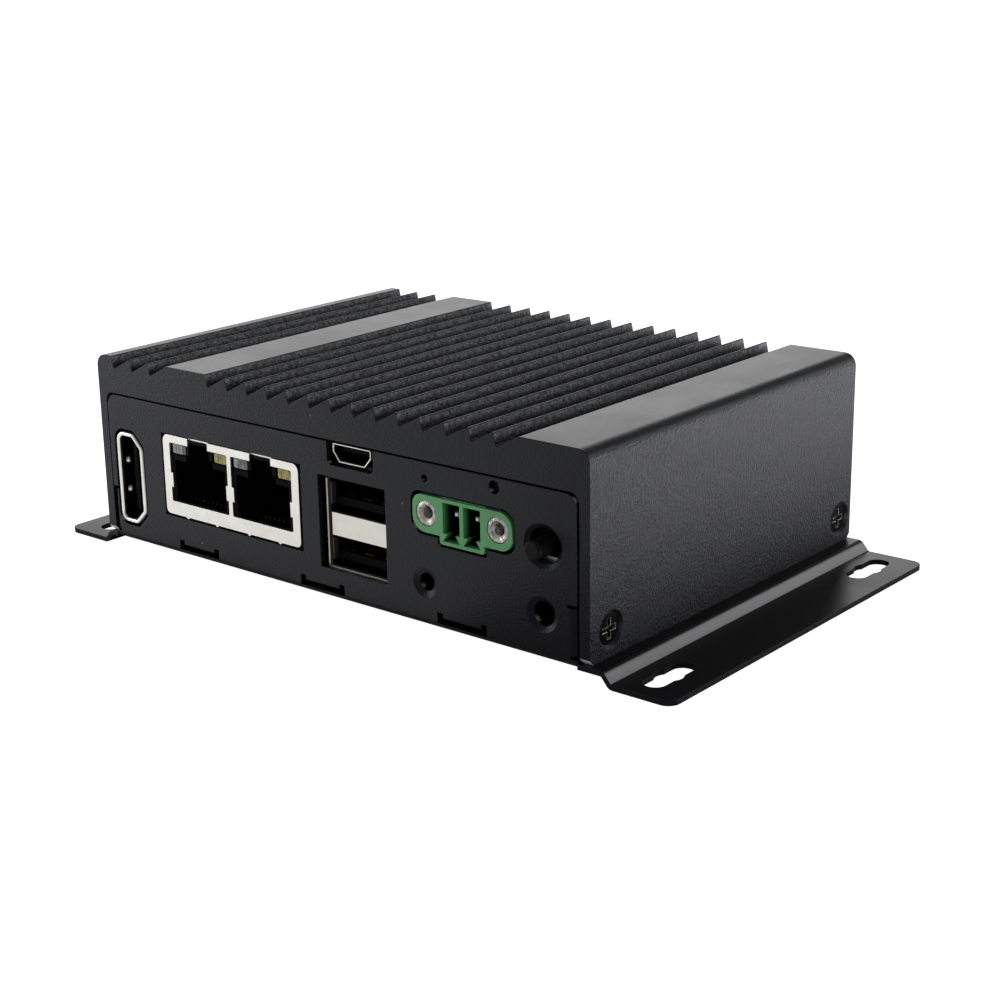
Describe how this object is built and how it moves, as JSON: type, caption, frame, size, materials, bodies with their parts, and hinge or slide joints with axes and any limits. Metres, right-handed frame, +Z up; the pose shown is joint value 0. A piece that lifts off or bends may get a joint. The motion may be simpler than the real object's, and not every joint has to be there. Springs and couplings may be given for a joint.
{
  "type": "fanless industrial pc",
  "caption": "Small fanless computer: a finned extruded cover over a folded steel tray with slotted wall flanges, sockets and a push button in the front panel.",
  "frame": {"origin": "centre of the bounding box at the level of the underside of the mounting flanges", "axes": "+Z up, the socket panel faces -Y, the display socket is at the -X end"},
  "size_m": [0.1254, 0.0732, 0.033],
  "materials": {
    "bare_aluminium": "milled",
    "black_button": "moulded",
    "black_plastic": "moulded",
    "black_screw": "blackened",
    "board_mask": "black solder mask",
    "brass_post": "turned",
    "can_aluminium": "drawn can",
    "cell_steel": "bright",
    "chip_resin": "moulded",
    "clear_lens": "frosted",
    "contact_disc": "silvered",
    "ferrite": "moulded",
    "gold_contact": "gold flashed",
    "green_plastic": "moulded",
    "laminate": "solder mask",
    "nickel": "plated",
    "nickel_insert": "turned",
    "pad": "soft",
    "powder_aluminium": "fine textured black coat",
    "powder_steel": "fine textured black coat",
    "reset_tip": "moulded",
    "silicon": "polished",
    "switch_steel": "plated",
    "tin_pin": "tinned",
    "yellow_lens": "frosted",
    "zinc_screw": "zinc plated"
  },
  "bodies": {
    "computer": {"battery_holder": "black_plastic", "board_screws": "zinc_screw", "board_standoffs": "brass_post", "chassis_tray": "powder_steel", "clock_cell": "cell_steel", "cover_screws": "black_screw", "hdmi_contacts": "gold_contact", "hdmi_insulator": "black_plastic", "hdmi_shell": "nickel", "heat_block": "bare_aluminium", "heat_block_screws": "zinc_screw", "heatsink_cover": "powder_aluminium", "lan_contacts": "gold_contact", "lan_housing": "black_plastic", "lan_lights_clear": "clear_lens", "lan_lights_yellow": "yellow_lens", "lan_shell": "nickel", "mainboard": "board_mask", "memory_chips": "chip_resin", "micro_usb_contacts": "gold_contact", "micro_usb_shell": "nickel", "micro_usb_tongue": "black_plastic", "network_chips": "chip_resin", "power_capacitors": "can_aluminium", "power_inductors": "ferrite", "power_switch_body": "black_plastic", "power_switch_contact": "contact_disc", "power_switch_frame": "switch_steel", "processor_base": "laminate", "processor_die": "silicon", "reset_switch_body": "black_plastic", "status_light": "clear_lens", "storage_chip": "chip_resin", "terminal_header": "green_plastic", "terminal_inserts": "nickel_insert", "terminal_pins": "tin_pin", "thermal_pad": "pad", "usb_contacts": "gold_contact", "usb_housing": "black_plastic", "usb_shell": "nickel"},
    "button": {"power_button": "black_button"},
    "reset_key": {"reset_plunger": "reset_tip"}
  },
  "joints": [
    {"name": "power_button_press", "type": "slide", "parent": "computer", "child": "button", "axis": [0, 1, 0], "range_m": [0, 0.00035], "stiffness_N_per_m": 2000, "springref_m": -0.0003},
    {"name": "reset_press", "type": "slide", "parent": "computer", "child": "reset_key", "axis": [0, 1, 0], "range_m": [0, 0.0003], "stiffness_N_per_m": 2000, "springref_m": -0.0003}
  ]
}
